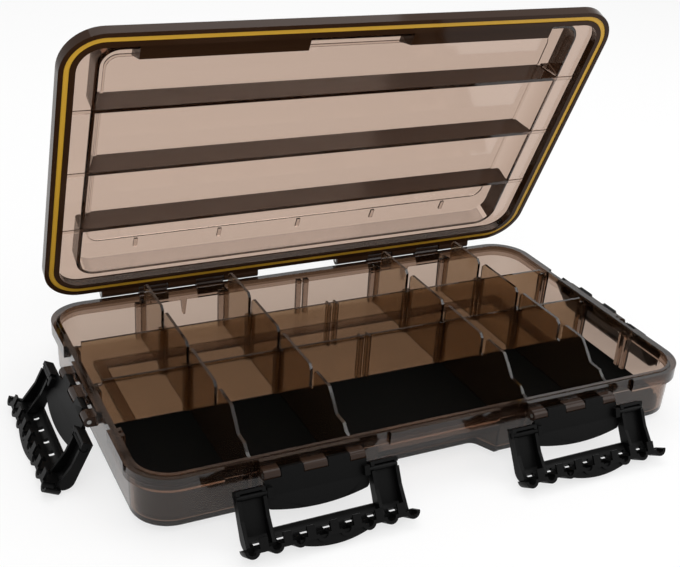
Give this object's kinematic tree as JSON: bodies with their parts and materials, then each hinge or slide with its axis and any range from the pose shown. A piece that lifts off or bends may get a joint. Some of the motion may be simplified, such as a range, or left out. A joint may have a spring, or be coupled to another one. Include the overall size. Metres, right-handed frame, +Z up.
{
  "type": "tackle box",
  "caption": "Smoked clear tackle box with gasketed lid standing open, black draw latches hanging open, black mat in the front row and lift-out dividers",
  "frame": {"origin": "centre of the base underside, on the table", "axes": "+X along the case, +Y to the hinge side, +Z up"},
  "size_m": [0.4148, 0.2478, 0.2253],
  "materials": {
    "brown_clear": "smoked brown clear moulded plastic, glossy",
    "mat_black": "matte black moulded sheet",
    "latch_black": "black moulded plastic, satin",
    "gasket_gold": "gold rubber, matte",
    "pin_steel": "drawn steel wire"
  },
  "bodies": {
    "base": {"base_tray": "brown_clear", "floor_mat": "mat_black", "cross_divider_1": "brown_clear", "cross_divider_2": "brown_clear", "cross_divider_3": "brown_clear", "cross_divider_4": "brown_clear", "rear_panel_1": "brown_clear", "rear_panel_2": "brown_clear", "rear_panel_3": "brown_clear", "rear_panel_4": "brown_clear", "rear_panel_5": "brown_clear", "middle_panel_1": "brown_clear", "middle_panel_2": "brown_clear", "middle_panel_3": "brown_clear", "middle_panel_4": "brown_clear", "middle_panel_5": "brown_clear", "hinge_pin_left": "pin_steel", "hinge_pin_right": "pin_steel", "latch_pin_front_left": "pin_steel", "latch_pin_front_right": "pin_steel", "latch_pin_left": "pin_steel", "latch_pin_right": "pin_steel"},
    "lid": {"lid_shell": "brown_clear", "lid_gasket": "gasket_gold"},
    "lever_front_left": {"latch_lever_front_left": "latch_black"},
    "bail_front_left": {"latch_bail_front_left": "latch_black"},
    "lever_front_right": {"latch_lever_front_right": "latch_black"},
    "bail_front_right": {"latch_bail_front_right": "latch_black"},
    "lever_left": {"latch_lever_left": "latch_black"},
    "bail_left": {"latch_bail_left": "latch_black"},
    "lever_right": {"latch_lever_right": "latch_black"},
    "bail_right": {"latch_bail_right": "latch_black"}
  },
  "joints": [
    {"name": "lid_hinge", "type": "hinge", "parent": "base", "child": "lid", "pos_m": [0, 0.1034, 0.0372], "axis": [-1, 0, 0], "range_deg": [-66.3, 48]},
    {"name": "lever_front_left", "type": "hinge", "parent": "base", "child": "lever_front_left", "pos_m": [-0.081, -0.1042, 0.0294], "axis": [-1, 0, 0], "range_deg": [-20, 70]},
    {"name": "bail_front_left", "type": "hinge", "parent": "lever_front_left", "child": "bail_front_left", "pos_m": [-0.081, -0.1106, 0.0238], "axis": [1, 0, 0], "range_deg": [-169, 30]},
    {"name": "lever_front_right", "type": "hinge", "parent": "base", "child": "lever_front_right", "pos_m": [0.081, -0.1042, 0.0294], "axis": [-1, 0, 0], "range_deg": [-20, 70]},
    {"name": "bail_front_right", "type": "hinge", "parent": "lever_front_right", "child": "bail_front_right", "pos_m": [0.081, -0.1106, 0.0238], "axis": [1, 0, 0], "range_deg": [-169, 30]},
    {"name": "lever_left", "type": "hinge", "parent": "base", "child": "lever_left", "pos_m": [-0.1767, 0, 0.0294], "axis": [0, 1, 0], "range_deg": [-26, 64]},
    {"name": "bail_left", "type": "hinge", "parent": "lever_left", "child": "bail_left", "pos_m": [-0.18365, 0, 0.0245], "axis": [0, -1, 0], "range_deg": [-180, 30]},
    {"name": "lever_right", "type": "hinge", "parent": "base", "child": "lever_right", "pos_m": [0.1767, 0, 0.0294], "axis": [0, -1, 0], "range_deg": [-20, 70]},
    {"name": "bail_right", "type": "hinge", "parent": "lever_right", "child": "bail_right", "pos_m": [0.1831, 0, 0.0238], "axis": [0, 1, 0], "range_deg": [-169, 30]}
  ]
}
